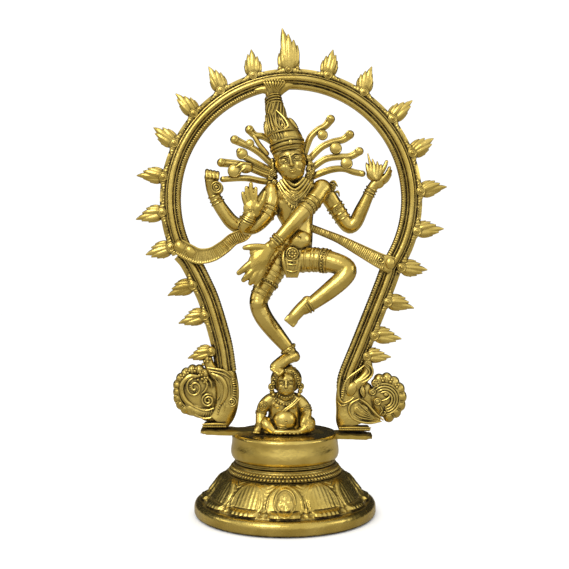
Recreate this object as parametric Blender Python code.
"""Brass dancing-figure statue: a hollow lotus pedestal, a flaming arch on two bird-footed legs, and a four-armed
dancer who stands on a seated dwarf. +Z is up and the front looks along -Y. Shapes are written in millimetres
about the pedestal's axis, and made in metres. Each sub-part is a function that returns closed shells; the shells
are fused into one body, and the neighbours that were made before are cut out of it with a fitting gap."""

import math

import bmesh
import bpy
from mathutils import Matrix, Vector

MM = 0.001
FIT_GAP = 0.3

# Driving dimensions, in millimetres.
PEDESTAL_X = -3.0
RIM_RADIUS = 45.0
RIM_HEIGHT = 6.5
SKIRT_TOP = 20.0
COLLAR_TOP = 24.9
DECK_HEIGHT = 39.6
WALL = 3.0
CAVITY_TOP = 35.4

BAR_CENTRE = (0.7, 38.85)
BAR_LENGTH = 85.0
BAR_DEPTH = 15.0
BAR_THICKNESS = 2.7
BAR_TILT = math.radians(1.8)

ARCH_LEAN = math.radians(1.45)
RING_CENTRE = (0.1, 155.5)
RING_RADIUS = 60.5
RING_EDGE = 5.5
RING_END_LEFT = 117.0
RING_END_RIGHT = 123.0
RING_STEPS = 40
FLAME_ROOT = RING_RADIUS + RING_EDGE + FIT_GAP
FLAME_TOP_ANGLE = -2.5
FLAME_PITCH_LEFT = 15.8
FLAME_PITCH_RIGHT = 17.5
FLAMES_PER_SIDE = 7
FLAME_LENGTH = 14.0
TOP_FLAME_LENGTH = 19.0
FLAME_HALF_WIDTH = 4.3
FLAME_HALF_DEPTH = 1.9

SCREW_RADIUS = 1.9
SCREW_HEAD_RADIUS = 3.6
SCREW_TOP = 52.0
SCREW_Y = -4.0

# Half section of the arch: distance out from the middle of the rail, and half depth.
ARCH_SECTION = ((5.5, 1.6), (2.2, 1.8), (1.3, 3.5), (-2.2, 3.5), (-3.0, 2.3), (-5.5, 2.0))

# Middle line of each leg, top to bottom, as it stands before the arch leans.
LEG_LINES = {
    "left": ((-49.6, 123.0), (-43.6, 112.0), (-39.1, 102.0), (-33.1, 83.0), (-30.4, 68.6)),
    "right": ((50.2, 119.8), (47.2, 111.0), (43.9, 102.0), (36.9, 83.0), (31.3, 68.0), (30.6, 61.2)),
}
LEG_FLAMES = {"left": ((113.5, -98.0), (97.0, -94.0)), "right": ((107.0, 91.0), (91.5, 88.0))}
FLAME_TILTS = {
    "left": (-2.0, -17.0, -32.0, -47.0, -72.0, -95.0, -106.0),
    "right": (6.0, 8.0, 36.0, 50.0, 66.0, 72.0, 90.0),
}
MOST_TILT = 22.0

LIMB_SIDES = 8


# ---------------------------------------------------------------------------------------------- closed shells

def grown_outline(outline, grow):
    """A closed outline, anticlockwise, moved outwards by grow."""
    count = len(outline)
    moved = []
    for i in range(count):
        before = Vector(outline[i - 1])
        here = Vector(outline[i])
        after = Vector(outline[(i + 1) % count])
        first = (here - before).normalized()
        second = (after - here).normalized()
        corner = Vector((first.y + second.y, -first.x - second.x))
        corner.normalize()
        cosine = max(0.5, corner.dot(Vector((first.y, -first.x))))
        moved.append(here + corner * (grow / cosine))
    return moved


def loft(rings, closed_ring=False):
    """Faces that join rings of equally many points, with flat ends unless the rings close on themselves."""
    size = len(rings[0])
    points = [point for ring in rings for point in ring]
    faces = []
    last = len(rings) if closed_ring else len(rings) - 1
    for i in range(last):
        low = i * size
        high = ((i + 1) % len(rings)) * size
        for j in range(size):
            k = (j + 1) % size
            faces.append((low + j, low + k, high + k, high + j))
    if not closed_ring:
        faces.append(tuple(reversed(range(size))))
        faces.append(tuple(range(len(points) - size, len(points))))
    return points, faces


def limb(stations, grow=0.0, sides=LIMB_SIDES):
    """A round or oval limb through (x, y, z, half width, half depth) stations, with small domed ends."""
    centres = [Vector(station[:3]) for station in stations]
    widths = [station[3] + grow for station in stations]
    depths = [station[-1] + grow for station in stations]
    start = (centres[0] - centres[1]).normalized()
    end = (centres[-1] - centres[-2]).normalized()
    centres.insert(0, centres[0] + start * (0.35 * widths[0] + grow))
    centres.append(centres[-1] + end * (0.35 * widths[-1] + grow))
    widths = [0.6 * widths[0]] + widths + [0.6 * widths[-1]]
    depths = [0.6 * depths[0]] + depths + [0.6 * depths[-1]]
    rings = []
    for i, centre in enumerate(centres):
        along = centres[min(i + 1, len(centres) - 1)] - centres[max(i - 1, 0)]
        along.normalize()
        across = Vector((along.z, 0.0, -along.x))
        if across.length < 0.2:
            across = Vector((1.0, 0.0, 0.0))
        across = (across - along * across.dot(along)).normalized()
        away = across.cross(along)
        ring = []
        for j in range(sides):
            turn = 2.0 * math.pi * (j + 0.5) / sides
            ring.append(centre + across * (widths[i] * math.cos(turn)) + away * (depths[i] * math.sin(turn)))
        rings.append(ring)
    return loft(rings)


def ball(centre, radii, grow=0.0, tilt=0.0, sides=10, rows=6):
    """An ellipsoid, tilted in the front plane by tilt degrees towards +X."""
    turn = Matrix.Rotation(math.radians(tilt), 3, "Y")
    size = [radius + grow for radius in radii]
    rings = []
    for i in range(1, rows):
        polar = math.pi * i / rows
        ring = []
        for j in range(sides):
            around = 2.0 * math.pi * (j + 0.5) / sides
            spot = Vector((math.sin(polar) * math.cos(around), math.sin(polar) * math.sin(around),
                           math.cos(polar)))
            spot = Vector((spot.x * size[0], spot.y * size[1], spot.z * size[2]))
            ring.append(Vector(centre) + turn @ spot)
        rings.append(ring)
    points = [point for ring in rings for point in ring]
    top = len(points)
    points.append(Vector(centre) + turn @ Vector((0.0, 0.0, size[2])))
    points.append(Vector(centre) - turn @ Vector((0.0, 0.0, size[2])))
    faces = []
    for j in range(sides):
        k = (j + 1) % sides
        faces.append((top, j, k))
        faces.append((top + 1, len(points) - 2 - sides + k, len(points) - 2 - sides + j))
    for i in range(rows - 2):
        for j in range(sides):
            k = (j + 1) % sides
            faces.append((i * sides + j, (i + 1) * sides + j, (i + 1) * sides + k, i * sides + k))
    return points, faces


def plate(outline, y, half_depth, grow=0.0, edge=0.9):
    """A flat piece in the front plane from an (x, z) outline, with both faces drawn in by edge."""
    full = grown_outline(outline, grow)
    inner = grown_outline(outline, grow - edge)
    deep = half_depth + grow
    layers = ((inner, y - deep), (full, y - 0.5 * deep), (full, y + 0.5 * deep), (inner, y + deep))
    rings = [[Vector((spot.x, depth, spot.y)) for spot in loop] for loop, depth in layers]
    return loft(rings)


def turned(profile, segments=36):
    """A solid of revolution about the Z axis from a closed (radius, height) profile that keeps off the axis."""
    rings = []
    for i in range(segments):
        turn = 2.0 * math.pi * i / segments
        rings.append([Vector((radius * math.sin(turn), radius * math.cos(turn), height))
                      for radius, height in profile])
    return loft(rings, closed_ring=True)


def rod(x, y, low, high, radius, sides=16):
    """An upright round rod."""
    rings = []
    for height in (low, high):
        rings.append([Vector((x + radius * math.cos(2.0 * math.pi * j / sides),
                              y + radius * math.sin(2.0 * math.pi * j / sides), height))
                      for j in range(sides)])
    return loft(rings)


def rail(stations, grow=0.0):
    """The arch's section carried along (x, z, outward x, outward z) stations in the front plane."""
    outline = [(out, -deep) for out, deep in reversed(ARCH_SECTION)]
    outline += [(out, deep) for out, deep in ARCH_SECTION]
    section = grown_outline(outline, grow)
    rings = []
    for x, z, out_x, out_z in stations:
        rings.append([Vector((x + spot.x * out_x, spot.y, z + spot.x * out_z)) for spot in section])
    return loft(rings)


def smooth_line(points, steps):
    """Points along a smooth curve through all the given ones."""
    spots = [Vector(point) for point in points]
    spots = [2.0 * spots[0] - spots[1]] + spots + [2.0 * spots[-1] - spots[-2]]
    line = []
    for i in range(1, len(spots) - 2):
        a, b, c, d = spots[i - 1:i + 3]
        for step in range(steps):
            t = step / steps
            line.append(0.5 * ((2.0 * b) + (c - a) * t + (2.0 * a - 5.0 * b + 4.0 * c - d) * t * t
                               + (3.0 * b - a - 3.0 * c + d) * t * t * t))
    line.append(spots[-2])
    return line


# ---------------------------------------------------------------------------------------------- the pedestal

def lotus_skirt(grow):
    outer = [(RIM_RADIUS - 1.2, 0.0), (RIM_RADIUS, 1.5), (RIM_RADIUS, 4.8), (RIM_RADIUS - 1.6, RIM_HEIGHT),
             (40.4, 7.0), (37.6, 10.5), (34.6, 14.6), (31.6, 18.2), (29.0, SKIRT_TOP)]
    inner = [(24.5, SKIRT_TOP), (28.6, 15.5), (33.6, 8.5), (38.5, 4.2), (RIM_RADIUS - WALL - 1.0, 0.0)]
    return [turned(grown_outline(outer + inner, grow))]


def bead_collar(grow):
    low = SKIRT_TOP + 0.5 * FIT_GAP
    outline = [(27.9, low), (27.4, 21.9), (26.1, 23.4), (24.8, COLLAR_TOP), (21.3, COLLAR_TOP), (24.6, low)]
    return [turned(grown_outline(outline, grow))]


def pedestal_drum(grow):
    low = COLLAR_TOP + 0.5 * FIT_GAP
    outer = [(24.5, low), (26.4, 27.2), (26.9, 29.8), (26.4, 34.0), (26.3, 38.2), (25.2, DECK_HEIGHT),
             (SCREW_RADIUS + 0.4, DECK_HEIGHT)]
    inner = [(SCREW_RADIUS + 0.4, CAVITY_TOP), (22.8, CAVITY_TOP), (23.6, 31.0), (21.4, low)]
    points, faces = turned(grown_outline(outer + inner, grow))
    for point in points:
        if point.xy.length < 2.0 * SCREW_RADIUS:
            point.y += SCREW_Y
    return [(points, faces)]


def arch_foot_bar(grow):
    half = 0.5 * BAR_LENGTH
    deep = 0.5 * BAR_DEPTH
    thick = 0.5 * BAR_THICKNESS
    outline = [(-half + 2.0, -deep), (half - 2.0, -deep), (half, -deep + 2.0), (half, deep - 2.0),
               (half - 2.0, deep), (-half + 2.0, deep), (-half, deep - 2.0), (-half, -deep + 2.0)]
    loop = grown_outline(outline, grow)
    turn = Matrix.Rotation(BAR_TILT, 3, "Y")
    middle = Vector((BAR_CENTRE[0], 0.0, BAR_CENTRE[1]))
    rings = []
    for height in (-thick - grow, thick + grow):
        rings.append([middle + turn @ Vector((spot.x, spot.y, height)) for spot in loop])
    return [loft(rings)]


def hold_down_screw(grow):
    head_top = CAVITY_TOP - 1.2 - 2.0 * FIT_GAP
    head = rod(0.0, SCREW_Y, head_top - 2.6 - grow, head_top + grow, SCREW_HEAD_RADIUS + grow)
    shank = rod(0.0, SCREW_Y, head_top - 0.5, SCREW_TOP + grow, SCREW_RADIUS + grow, sides=12)
    return [head, shank]


def hold_down_washer(grow):
    low = CAVITY_TOP - 1.2 - FIT_GAP
    high = CAVITY_TOP - FIT_GAP
    points, faces = turned([(5.2 + grow, high + grow), (SCREW_RADIUS + 0.4, high + grow),
                            (SCREW_RADIUS + 0.4, low - grow), (5.2 + grow, low - grow)], segments=16)
    for point in points:
        point.y += SCREW_Y
    return [(points, faces)]


# ---------------------------------------------------------------------------------------------- the arch

def ring_station(angle, out=0.0):
    """A place on the ring's middle line, angle degrees from the top towards +X, and its outward direction."""
    turn = math.radians(angle)
    out_x = math.sin(turn)
    out_z = math.cos(turn)
    radius = RING_RADIUS + out
    return RING_CENTRE[0] + radius * out_x, RING_CENTRE[1] + radius * out_z, out_x, out_z


def leg_stations(side):
    """Stations down one leg, from just below the end of the ring."""
    gap = math.degrees(FIT_GAP / RING_RADIUS)
    first = ring_station(-RING_END_LEFT - gap) if side == "left" else ring_station(RING_END_RIGHT + gap)
    line = smooth_line(LEG_LINES[side], 3)
    outwards = -1.0 if side == "left" else 1.0
    stations = [first]
    for i, spot in enumerate(line):
        if spot.y > first[1] - 2.5:
            continue
        along = line[min(i + 1, len(line) - 1)] - line[max(i - 1, 0)]
        along.normalize()
        stations.append((spot.x, spot.y, -along.y * outwards, along.x * outwards))
    return stations


def lean(shells):
    """The arch stands a little off upright, about the middle of the deck."""
    pivot = Vector((0.0, 0.0, DECK_HEIGHT))
    turn = Matrix.Rotation(ARCH_LEAN, 3, "Y")
    return [([pivot + turn @ (point - pivot) for point in points], faces) for points, faces in shells]


def arch_ring(grow):
    reach = math.degrees(grow / RING_RADIUS)
    low = -RING_END_LEFT - reach
    high = RING_END_RIGHT + reach
    stations = [ring_station(low + (high - low) * i / RING_STEPS) for i in range(RING_STEPS + 1)]
    return lean([rail(stations, grow)])


def arch_leg(side):
    def shells(grow):
        stations = leg_stations(side)
        if side == "left":
            stations = list(reversed(stations))
        return lean([rail(stations, grow)])
    return shells


def flame_outline(length, tilt):
    """One leaf-shaped flame, rooted on the X axis, its tip drawn over sideways by tilt degrees."""
    half = FLAME_HALF_WIDTH
    shape = ((0.72 * half, 0.0), (0.62 * half, 0.16), (half, 0.42), (0.62 * half, 0.55), (0.7 * half, 0.7),
             (0.12 * half, 1.0), (-0.5 * half, 0.72), (-0.62 * half, 0.52), (-half, 0.38), (-0.62 * half, 0.16),
             (-0.72 * half, 0.0))
    slope = math.tan(math.radians(tilt))
    return [(x + slope * length * up, length * up) for x, up in shape]


def flame(place, tip_angle, length):
    """A flame on the outer edge of the arch at a rail station, pointing tip_angle degrees from upright."""
    x, z, out_x, out_z = place
    root_angle = math.degrees(math.atan2(out_x, out_z))
    tilt = max(-MOST_TILT, min(MOST_TILT, tip_angle - root_angle))

    def shells(grow):
        outline = flame_outline(length, tilt)
        world = [(x + across * out_z + up * out_x, z - across * out_x + up * out_z) for across, up in outline]
        return lean([plate(world, 0.0, FLAME_HALF_DEPTH, grow, edge=0.8)])
    return shells


def flames():
    """Every flame: the top one, seven down each side of the ring, then two on each leg."""
    out = FLAME_ROOT - RING_RADIUS
    found = [flame(ring_station(FLAME_TOP_ANGLE, out), -7.0, TOP_FLAME_LENGTH)]
    for side, pitch in (("left", -FLAME_PITCH_LEFT), ("right", FLAME_PITCH_RIGHT)):
        for i in range(FLAMES_PER_SIDE):
            place = ring_station(FLAME_TOP_ANGLE + pitch * (i + 1), out)
            found.append(flame(place, FLAME_TILTS[side][i], FLAME_LENGTH))
        stations = leg_stations(side)
        for height, tip_angle in LEG_FLAMES[side]:
            x, z, out_x, out_z = min(stations, key=lambda station: abs(station[1] - height))
            place = (x + out * out_x, z + out * out_z, out_x, out_z)
            found.append(flame(place, tip_angle, FLAME_LENGTH - 1.0))
    return found


def peacock_left(grow):
    body = [(-41.5, 44.8), (-27.5, 44.8), (-24.3, 51.0), (-23.0, 60.5), (-24.0, 69.0), (-35.5, 70.5),
            (-36.0, 60.0), (-39.0, 51.5)]
    neck = [(-34.5, 0.0, 66.5, 2.6), (-38.3, 0.0, 71.0, 2.5), (-39.0, 0.0, 75.5, 2.4), (-37.2, -0.5, 79.5, 2.6)]
    beak = [(-38.0, -0.5, 79.8, 2.6, 2.2), (-42.5, -0.5, 80.4, 2.0, 1.6), (-48.2, -0.5, 81.2, 0.9)]
    return [plate(body, 0.0, 4.5, grow), limb(neck, grow), ball((-37.0, -0.5, 79.7), (3.2, 3.4, 3.2), grow),
            limb(beak, grow)]


def peacock_right(grow):
    body = [(27.5, 43.0), (44.5, 43.0), (47.5, 45.5), (43.0, 50.5), (40.5, 58.0), (38.0, 63.0), (26.0, 62.5),
            (25.3, 56.0), (25.3, 47.0)]
    neck = [(36.5, 0.0, 61.0, 2.6), (41.0, 0.0, 65.0, 2.5), (43.8, 0.0, 69.5, 2.4), (42.5, -0.5, 74.5, 2.4)]
    beak = [(42.5, -0.5, 77.4, 2.6, 2.2), (47.0, -0.5, 77.6, 2.0, 1.6), (53.0, -0.5, 77.8, 0.9)]
    return [plate(body, 0.0, 4.5, grow), limb(neck, grow), ball((41.5, -0.5, 77.4), (3.2, 3.4, 3.2), grow),
            limb(beak, grow)]


def wheel(x, z, half_width, half_height, grow, points=20):
    """A curled tail, nearly round, with a lobed edge."""
    outline = []
    for i in range(points):
        turn = 2.0 * math.pi * i / points
        lobe = 1.0 if i % 2 else 0.93
        outline.append((x + lobe * half_width * math.cos(turn), z + lobe * half_height * math.sin(turn)))
    return plate(outline, 0.0, 3.6, grow, edge=1.4)


def peacock_tail_left(grow):
    return [wheel(-45.6, 59.5, 11.4, 13.6, grow)]


def peacock_tail_right(grow):
    return [wheel(51.6, 56.2, 9.8, 11.2, grow)]


def foot_moulding(side):
    left = [(-41.5, 41.5), (-28.0, 41.1), (-28.6, 43.0), (-29.5, 44.3), (-40.2, 44.5), (-41.0, 43.2)]
    right = [(26.6, 39.9), (43.0, 39.4), (42.6, 41.2), (41.8, 42.5), (28.0, 42.6), (27.0, 41.4)]

    def shells(grow):
        return [plate(left if side == "left" else right, 0.0, 5.5, grow, edge=0.6)]
    return shells


# ---------------------------------------------------------------------------------------------- the figures

def torso(grow):
    trunk = [(3.6, -1.0, 122.0, 8.5, 6.5), (3.6, -1.5, 127.5, 10.0, 7.4), (5.6, -2.5, 132.5, 8.2, 7.0),
             (6.8, -2.5, 137.5, 6.9, 6.2), (6.0, -1.5, 144.0, 7.8, 6.2), (4.9, -1.0, 151.0, 10.4, 6.6),
             (4.6, -0.5, 157.0, 11.4, 6.6), (4.8, 0.0, 160.8, 9.5, 5.4)]
    neck = [(5.0, -1.0, 160.0, 4.4), (4.9, -2.0, 166.5, 3.7)]
    return [limb(trunk, grow, sides=12), limb(neck, grow)]


def head(grow):
    return [ball((3.2, -5.0, 173.6), (7.1, 7.2, 8.6), grow, tilt=-11.0, sides=12, rows=8),
            ball((-4.6, -2.5, 170.8), (2.0, 2.0, 3.6), grow), ball((11.0, -2.5, 169.0), (2.0, 2.0, 3.8), grow)]


def crown(grow):
    cone = [(1.2, -4.4, 180.6, 8.6, 8.2), (0.5, -4.2, 184.0, 8.8, 8.2), (-1.6, -4.0, 189.0, 7.3, 7.0),
            (-3.9, -3.4, 194.0, 5.7, 5.6), (-5.0, -2.8, 199.0, 4.7, 4.4), (-5.9, -2.0, 204.4, 4.0, 3.6)]
    return [limb(cone, grow, sides=10), ball((4.1, -4.0, 191.9), (1.9, 2.6, 4.2), grow, tilt=-33.0),
            ball((-9.0, -3.4, 189.4), (1.8, 2.6, 4.4), grow, tilt=-8.0)]


def crown_bracket(grow):
    outline = [(-9.4, 205.2), (-2.6, 204.2), (-0.4, 207.2), (3.6, 210.0), (3.4, 212.6), (-1.5, 214.8),
               (-8.5, 213.6), (-14.6, 211.2), (-14.4, 207.4), (-11.0, 206.6)]
    return [plate(outline, -1.6, 4.2, grow)]


def hair_right(grow):
    root = limb([(9.5, 1.5, 183.0, 3.2, 2.4), (12.0, 1.5, 176.0, 3.6, 2.4), (13.5, 1.5, 168.5, 3.4, 2.4)], grow)
    locks = [
        [(10.5, 0.6, 181.5, 1.6), (12.8, 0.0, 186.8, 1.5), (16.4, 0.0, 190.2, 1.4), (20.2, 0.0, 192.3, 1.4),
         (22.8, 0.0, 195.6, 1.6)],
        [(12.0, 0.6, 175.5, 1.6), (17.5, 0.0, 180.6, 1.4), (24.0, 0.0, 184.4, 1.4), (29.0, 0.0, 185.4, 1.4),
         (32.6, 0.0, 188.0, 1.6)],
        [(13.5, 0.6, 171.0, 1.6), (19.8, 0.0, 175.0, 1.4), (26.5, 0.0, 176.8, 1.4), (32.5, 0.0, 176.9, 1.4),
         (37.4, 0.0, 179.6, 1.6)],
        [(14.0, 0.6, 167.2, 1.6), (20.5, 0.0, 169.6, 1.4), (28.5, 0.0, 170.9, 1.4), (34.5, 0.0, 169.2, 1.4),
         (39.0, 0.0, 168.4, 1.4)],
    ]
    buttons = [((19.0, -0.6, 188.2), (2.3, 2.0, 2.7)), ((25.6, -0.6, 181.4), (2.6, 2.0, 2.6)),
               ((31.2, -0.6, 173.4), (2.6, 2.0, 2.9))]
    return [root] + [limb(lock, grow, sides=6) for lock in locks] + \
           [ball(spot, radii, grow, sides=8, rows=5) for spot, radii in buttons]


def hair_left(grow):
    root = limb([(-4.0, 1.5, 184.5, 3.0, 2.4), (-5.5, 1.5, 176.0, 3.4, 2.4), (-6.0, 1.5, 166.0, 3.2, 2.4)], grow)
    locks = [
        [(-5.5, 0.6, 183.0, 1.6), (-11.5, 0.0, 187.2, 1.5), (-15.5, 0.0, 187.4, 1.4), (-18.2, 0.0, 190.6, 1.6)],
        [(-6.5, 0.6, 172.0, 1.6), (-12.0, 0.0, 177.2, 1.4), (-17.0, 0.0, 181.4, 1.4), (-21.0, 0.0, 183.4, 1.4),
         (-25.6, 0.0, 185.4, 1.6)],
        [(-7.0, 0.6, 168.0, 1.6), (-14.0, 0.0, 172.0, 1.4), (-19.2, 0.0, 175.4, 1.4), (-22.6, 0.0, 178.6, 1.4),
         (-26.2, 0.0, 183.4, 1.4)],
        [(-7.0, 0.6, 166.6, 1.6), (-14.4, 0.0, 168.0, 1.4), (-20.0, 0.0, 171.6, 1.4), (-26.4, 0.0, 173.2, 1.4),
         (-32.8, 0.0, 173.6, 1.6)],
        [(-6.6, 0.6, 163.6, 1.6), (-14.0, 0.0, 165.2, 1.4), (-22.0, 0.0, 166.4, 1.4), (-31.2, 0.0, 165.4, 1.4)],
    ]
    buttons = [((-18.2, -0.4, 182.6), (2.2, 2.2, 2.6)), ((-22.0, -0.4, 177.2), (2.2, 2.2, 2.8)),
               ((-25.6, -0.4, 169.6), (3.2, 2.2, 3.4))]
    return [root] + [limb(lock, grow, sides=6) for lock in locks] + \
           [ball(spot, radii, grow, sides=8, rows=5) for spot, radii in buttons]


def front_left_arm(grow):
    arm = [(18.2, -2.0, 160.4, 4.7), (16.0, -5.0, 156.4, 4.6), (11.6, -9.0, 151.6, 4.2), (5.2, -11.8, 144.4, 4.1),
           (-0.8, -13.2, 137.6, 3.5), (-5.0, -13.6, 132.8, 3.2)]
    hand = [(-20.4, 131.0), (-19.8, 126.6), (-23.2, 118.4), (-21.6, 113.4), (-17.4, 112.4), (-14.2, 113.8),
            (-8.4, 122.0), (-3.6, 129.0), (-2.8, 133.4), (-6.4, 136.2), (-13.0, 132.6)]
    return [limb(arm, grow), plate(hand, -13.6, 2.4, grow)]


def front_right_arm(grow):
    arm = [(-6.6, -2.0, 160.2, 4.5), (-6.8, -4.6, 153.6, 4.3), (-9.6, -6.4, 146.6, 4.0), (-15.4, -7.6, 141.8, 3.8),
           (-20.4, -8.8, 140.4, 3.4), (-18.8, -11.2, 142.4, 3.0), (-16.8, -12.2, 145.6, 2.6)]
    hand = [(-18.6, 144.6), (-14.4, 144.4), (-12.0, 150.4), (-9.0, 156.4), (-9.8, 158.4), (-12.9, 155.6),
            (-14.0, 161.6), (-16.9, 163.4), (-18.6, 161.4), (-18.7, 157.6), (-20.8, 157.0), (-20.4, 151.6)]
    return [limb(arm, grow), plate(hand, -12.6, 1.9, grow, edge=0.7)]


def back_right_arm(grow):
    arm = [(-7.6, 2.6, 159.0, 4.2), (-14.8, 3.6, 149.6, 3.9), (-22.4, 3.8, 142.2, 3.7), (-26.6, 3.4, 144.0, 3.6),
           (-30.4, 2.8, 149.0, 3.5), (-34.2, 2.0, 154.0, 3.1), (-36.6, 1.0, 160.4, 3.0), (-37.2, 0.4, 166.6, 3.3)]
    return [limb(arm, grow), ball((-36.4, 0.2, 167.8), (3.9, 3.2, 3.2), grow)]


def back_left_arm(grow):
    arm = [(19.6, 2.6, 160.2, 4.2), (26.0, 3.6, 150.6, 4.0), (32.0, 3.8, 142.0, 3.7), (35.2, 3.4, 143.4, 3.5),
           (38.4, 2.6, 150.2, 3.3), (41.4, 1.8, 157.2, 2.9), (44.4, 1.0, 162.0, 2.8)]
    hand = [(42.6, 161.2), (46.6, 160.4), (50.4, 164.4), (53.4, 169.4), (52.4, 174.6), (50.4, 174.0),
            (49.8, 169.6), (46.8, 166.0), (42.8, 165.2)]
    return [limb(arm, grow), plate(hand, 0.4, 2.6, grow, edge=0.7)]


def hand_drum(grow):
    rings = [[Vector((-33.8 + radius * math.cos(math.pi * j / 5.0), y, 160.8 + radius * math.sin(math.pi * j / 5.0)))
              for j in range(10)]
             for radius, y in ((3.0 + grow, 0.4 + grow), (2.0 + grow, -2.4), (3.0 + grow, -5.2 - grow))]
    return [loft(rings)]


def hand_flame(grow):
    outline = [(44.0, 165.6), (47.6, 167.4), (49.4, 171.6), (47.6, 175.0), (44.6, 175.4), (42.2, 178.8),
               (41.4, 174.6), (40.2, 171.4), (41.4, 167.4)]
    return [plate(outline, -1.0, 2.2, grow, edge=0.8)]


def waist_belt(grow):
    """Belt buckle and the stiff apron that hangs under it."""
    apron = [(1.2, 116.6), (5.6, 116.4), (7.4, 124.0), (8.2, 129.6), (-1.4, 129.6), (-0.6, 124.0)]
    return [plate(apron, -9.2, 1.9, grow, edge=0.7), ball((3.5, -10.4, 128.0), (3.2, 1.8, 3.2), grow)]


def standing_leg(grow):
    leg = [(-2.6, -2.0, 126.6, 6.2), (-7.2, -3.4, 118.0, 5.8), (-11.4, -4.8, 110.0, 4.9), (-13.2, -5.4, 103.6, 4.6),
           (-10.2, -5.0, 96.4, 4.4), (-4.4, -4.6, 88.6, 4.0), (0.8, -4.2, 82.4, 3.6), (3.2, -4.0, 79.2, 3.5)]
    foot = [(5.2, -3.6, 77.8, 2.9, 3.0), (0.2, -6.4, 76.2, 2.7, 3.0), (-5.6, -10.2, 72.6, 2.0, 3.2)]
    return [limb(leg, grow), limb(foot, grow)]


def raised_leg(grow):
    leg = [(7.0, -4.4, 125.4, 6.2), (14.4, -8.0, 125.2, 6.0), (23.0, -11.0, 123.8, 5.2), (30.4, -12.6, 121.2, 4.8),
           (29.4, -13.8, 116.6, 4.4), (22.0, -14.8, 110.4, 4.2), (14.4, -15.4, 104.8, 3.6), (9.2, -15.6, 101.0, 3.0)]
    foot = [(10.6, -15.8, 105.4, 2.6, 2.4), (6.4, -16.2, 100.6, 3.0, 2.4), (2.4, -16.6, 95.6, 2.7, 1.8)]
    return [limb(leg, grow), limb(foot, grow)]


def sash_right(grow):
    band = [(12.4, -2.5, 141.4, 3.4, 2.4), (19.5, -4.0, 138.4, 3.0, 2.2), (27.0, -5.0, 135.2, 2.7, 2.0),
            (36.5, -5.6, 130.6, 3.0, 2.0), (46.0, -5.4, 125.8, 3.5, 2.2), (52.4, -5.4, 123.0, 4.6, 2.2)]
    return [limb(band, grow, sides=6)]


def sash_left(grow):
    band = [(-21.6, 1.0, 136.6, 3.4, 2.4), (-25.8, -2.0, 135.6, 3.2, 2.2), (-30.2, -4.6, 131.6, 3.3, 2.2),
            (-36.0, -5.6, 128.0, 3.6, 2.2), (-42.4, -5.6, 127.0, 3.8, 2.2), (-48.4, -5.4, 129.4, 4.0, 2.2),
            (-52.4, -5.2, 131.6, 4.0, 2.2)]
    return [limb(band, grow, sides=6)]


def dwarf_body(grow):
    trunk = [(0.0, -2.0, 42.0, 10.2, 7.5), (0.0, -3.0, 48.0, 8.8, 7.4), (-0.6, -3.0, 53.5, 8.4, 6.0),
             (-0.4, -3.0, 57.6, 6.2, 4.6)]
    arms = [
        [(-9.2, -2.5, 55.8, 3.4), (-12.4, -4.0, 52.0, 3.0), (-13.6, -6.4, 46.6, 2.8), (-12.2, -9.0, 43.4, 2.6)],
        [(8.6, -2.5, 55.6, 3.4), (11.2, -4.0, 51.8, 3.0), (11.8, -6.6, 47.6, 2.8), (10.2, -9.6, 45.4, 2.6)],
    ]
    legs = [(-13.0, -6.0, 42.6, 3.2), (-7.0, -11.2, 42.4, 2.8), (1.0, -12.6, 42.2, 2.7), (8.0, -11.2, 42.6, 2.9),
            (13.6, -6.0, 43.2, 3.4)]
    return [limb(trunk, grow, sides=10), ball((-0.4, -8.6, 47.2), (6.0, 4.6, 5.8), grow), limb(arms[0], grow),
            limb(arms[1], grow), limb(legs, grow)]


def dwarf_head(grow):
    return [ball((0.4, -5.0, 67.6), (8.6, 7.2, 6.6), grow), ball((0.6, -8.2, 63.8), (5.2, 5.0, 6.2), grow),
            ball((-6.6, -7.4, 61.8), (2.0, 1.8, 2.6), grow, sides=8, rows=5),
            ball((7.8, -7.4, 62.2), (2.0, 1.8, 2.6), grow, sides=8, rows=5),
            limb([(0.0, -4.0, 57.0, 4.4), (0.2, -4.6, 61.5, 4.6)], grow)]


# ---------------------------------------------------------------------------------------------- building

def mesh_object(name, shell):
    """An object made from one closed shell, which is written in millimetres."""
    points, faces = shell
    mesh = bpy.data.meshes.new(name)
    mesh.from_pydata([tuple(MM * value for value in point) for point in points], [], faces)
    solid = bmesh.new()
    solid.from_mesh(mesh)
    bmesh.ops.recalc_face_normals(solid, faces=solid.faces)
    solid.to_mesh(mesh)
    solid.free()
    made = bpy.data.objects.new(name, mesh)
    bpy.context.scene.collection.objects.link(made)
    return made


def combine(target, shells, operation, solver="EXACT"):
    """The target's mesh after a Boolean with each shell in turn."""
    cutters = []
    for shell in shells:
        cutter = mesh_object("cutter", shell)
        cutters.append(cutter)
        step = target.modifiers.new("fit", "BOOLEAN")
        step.operation = operation
        step.solver = solver
        step.object = cutter
    bpy.context.view_layer.update()
    evaluated = target.evaluated_get(bpy.context.evaluated_depsgraph_get())
    mesh = bpy.data.meshes.new_from_object(evaluated)
    target.modifiers.clear()
    old = target.data
    target.data = mesh
    bpy.data.meshes.remove(old)
    for cutter in cutters:
        spare = cutter.data
        bpy.data.objects.remove(cutter)
        bpy.data.meshes.remove(spare)


def box_of(shell):
    points = shell[0]
    low = Vector([min(point[i] for point in points) for i in range(3)])
    high = Vector([max(point[i] for point in points) for i in range(3)])
    return low, high


def meets(first, second):
    """Whether the boxes of two shells overlap."""
    low_a, high_a = box_of(first)
    low_b, high_b = box_of(second)
    return all(low_a[i] < high_b[i] and low_b[i] < high_a[i] for i in range(3))


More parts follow.
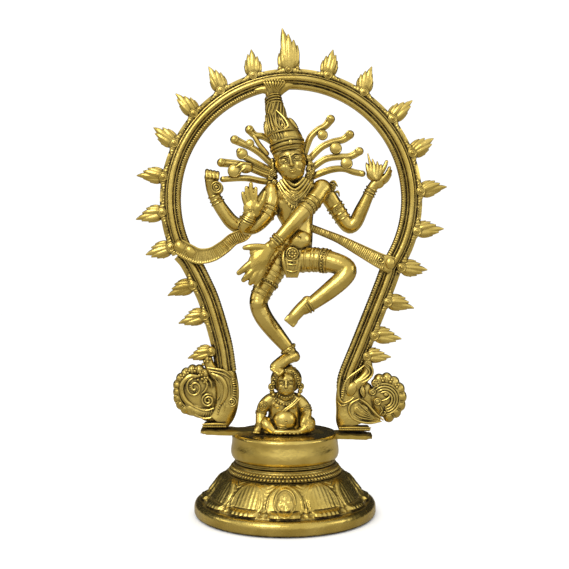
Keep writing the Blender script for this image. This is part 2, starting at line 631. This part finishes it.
def drop_crumbs(mesh):
    """Keeps the largest connected body that a cut has left."""
    solid = bmesh.new()
    solid.from_mesh(mesh)
    left = set(solid.verts)
    bodies = []
    while left:
        seeds = [left.pop()]
        body = set(seeds)
        while seeds:
            for edge in seeds.pop().link_edges:
                for vert in edge.verts:
                    if vert not in body:
                        body.add(vert)
                        left.discard(vert)
                        seeds.append(vert)
        bodies.append(body)
    largest = max(bodies, key=len)
    crumbs = [vert for body in bodies if body is not largest for vert in body]
    bmesh.ops.delete(solid, geom=crumbs, context="VERTS")
    solid.to_mesh(mesh)
    solid.free()


def brass(name, colour, roughness):
    material = bpy.data.materials.new(name)
    material.use_nodes = True
    shader = material.node_tree.nodes["Principled BSDF"]
    shader.inputs["Base Color"].default_value = (*colour, 1.0)
    shader.inputs["Metallic"].default_value = 1.0
    shader.inputs["Roughness"].default_value = roughness
    material.diffuse_color = (*colour, 1.0)
    return material


def empty(name, location, rotation, parent=None):
    made = bpy.data.objects.new(name, None)
    made.location = location
    made.rotation_euler = rotation
    made.parent = parent
    bpy.context.scene.collection.objects.link(made)
    return made


def settle(body, parent):
    """Gives a body its parent and its own origin, at the middle of its box, without moving its surface."""
    low = Vector([min(vert.co[i] for vert in body.data.vertices) for i in range(3)])
    high = Vector([max(vert.co[i] for vert in body.data.vertices) for i in range(3)])
    middle = 0.5 * (low + high)
    shift = Matrix.Translation((PEDESTAL_X * MM, 0.0, 0.0))
    bpy.context.view_layer.update()
    to_parent = parent.matrix_world.inverted() @ shift
    body.data.transform(to_parent.to_3x3().to_4x4() @ Matrix.Translation(-middle))
    body.location = to_parent @ middle
    body.parent = parent
    body.data.set_sharp_from_angle(angle=math.radians(35.0))


# The exact solver leaves these bands open where they meet several rounded neighbours.
MANIFOLD_FITS = {"sash_right"}

POLISHED = ("polished_brass", (0.72, 0.50, 0.17), 0.30)
DARKENED = ("antique_brass", (0.55, 0.37, 0.12), 0.42)
STEEL = ("brushed_steel", (0.62, 0.62, 0.62), 0.40)


def all_parts():
    """(name, shells function, finish, whether it leans with the arch), in the order in which they are fitted."""
    parts = [
        ("hold_down_screw", hold_down_screw, STEEL, False),
        ("hold_down_washer", hold_down_washer, STEEL, False),
        ("arch_foot_bar", arch_foot_bar, DARKENED, False),
        ("lotus_skirt", lotus_skirt, POLISHED, False),
        ("bead_collar", bead_collar, POLISHED, False),
        ("pedestal_drum", pedestal_drum, POLISHED, False),
        ("arch_ring", arch_ring, DARKENED, True),
        ("arch_leg_left", arch_leg("left"), DARKENED, True),
        ("arch_leg_right", arch_leg("right"), DARKENED, True),
        ("foot_moulding_left", foot_moulding("left"), DARKENED, False),
        ("foot_moulding_right", foot_moulding("right"), DARKENED, False),
        ("dwarf_head", dwarf_head, POLISHED, False),
        ("dwarf_body", dwarf_body, POLISHED, False),
        ("torso", torso, POLISHED, False),
        ("head", head, POLISHED, False),
        ("crown", crown, DARKENED, False),
        ("crown_bracket", crown_bracket, DARKENED, False),
        ("waist_belt", waist_belt, POLISHED, False),
        ("standing_leg", standing_leg, POLISHED, False),
        ("raised_leg", raised_leg, POLISHED, False),
        ("front_left_arm", front_left_arm, POLISHED, False),
        ("front_right_arm", front_right_arm, POLISHED, False),
        ("back_right_arm", back_right_arm, POLISHED, False),
        ("back_left_arm", back_left_arm, POLISHED, False),
        ("hand_drum", hand_drum, POLISHED, False),
        ("hand_flame", hand_flame, POLISHED, False),
        ("hair_left", hair_left, DARKENED, False),
        ("hair_right", hair_right, DARKENED, False),
        ("sash_left", sash_left, POLISHED, False),
        ("sash_right", sash_right, POLISHED, False),
        ("peacock_left", peacock_left, POLISHED, False),
        ("peacock_right", peacock_right, POLISHED, False),
        ("peacock_tail_left", peacock_tail_left, POLISHED, False),
        ("peacock_tail_right", peacock_tail_right, POLISHED, False),
    ]
    for number, shells in enumerate(flames(), start=1):
        parts.append((f"flame_{number:02d}", shells, POLISHED, True))
    return parts


def main():
    for old in list(bpy.data.objects):
        bpy.data.objects.remove(old)
    statue = empty("statue", (PEDESTAL_X * MM, 0.0, 0.0), (0.0, 0.0, 0.0))
    pivot = empty("arch_lean", (0.0, 0.0, DECK_HEIGHT * MM), (0.0, ARCH_LEAN, 0.0), statue)
    bpy.context.view_layer.update()
    finishes = {finish[0]: brass(*finish) for finish in (POLISHED, DARKENED, STEEL)}
    cutters = []
    for name, shells, finish, leans in all_parts():
        plain = shells(0.0)
        body = mesh_object(name, plain[0])
        if len(plain) > 1:
            combine(body, plain[1:], "UNION")
        cuts = [cut for cut in cutters if any(meets(cut, shell) for shell in plain)]
        if cuts:
            combine(body, cuts, "DIFFERENCE", "MANIFOLD" if name in MANIFOLD_FITS else "EXACT")
        drop_crumbs(body.data)
        body.data.materials.clear()
        body.data.materials.append(finishes[finish[0]])
        settle(body, pivot if leans else statue)
        cutters.extend(shells(FIT_GAP))


main()
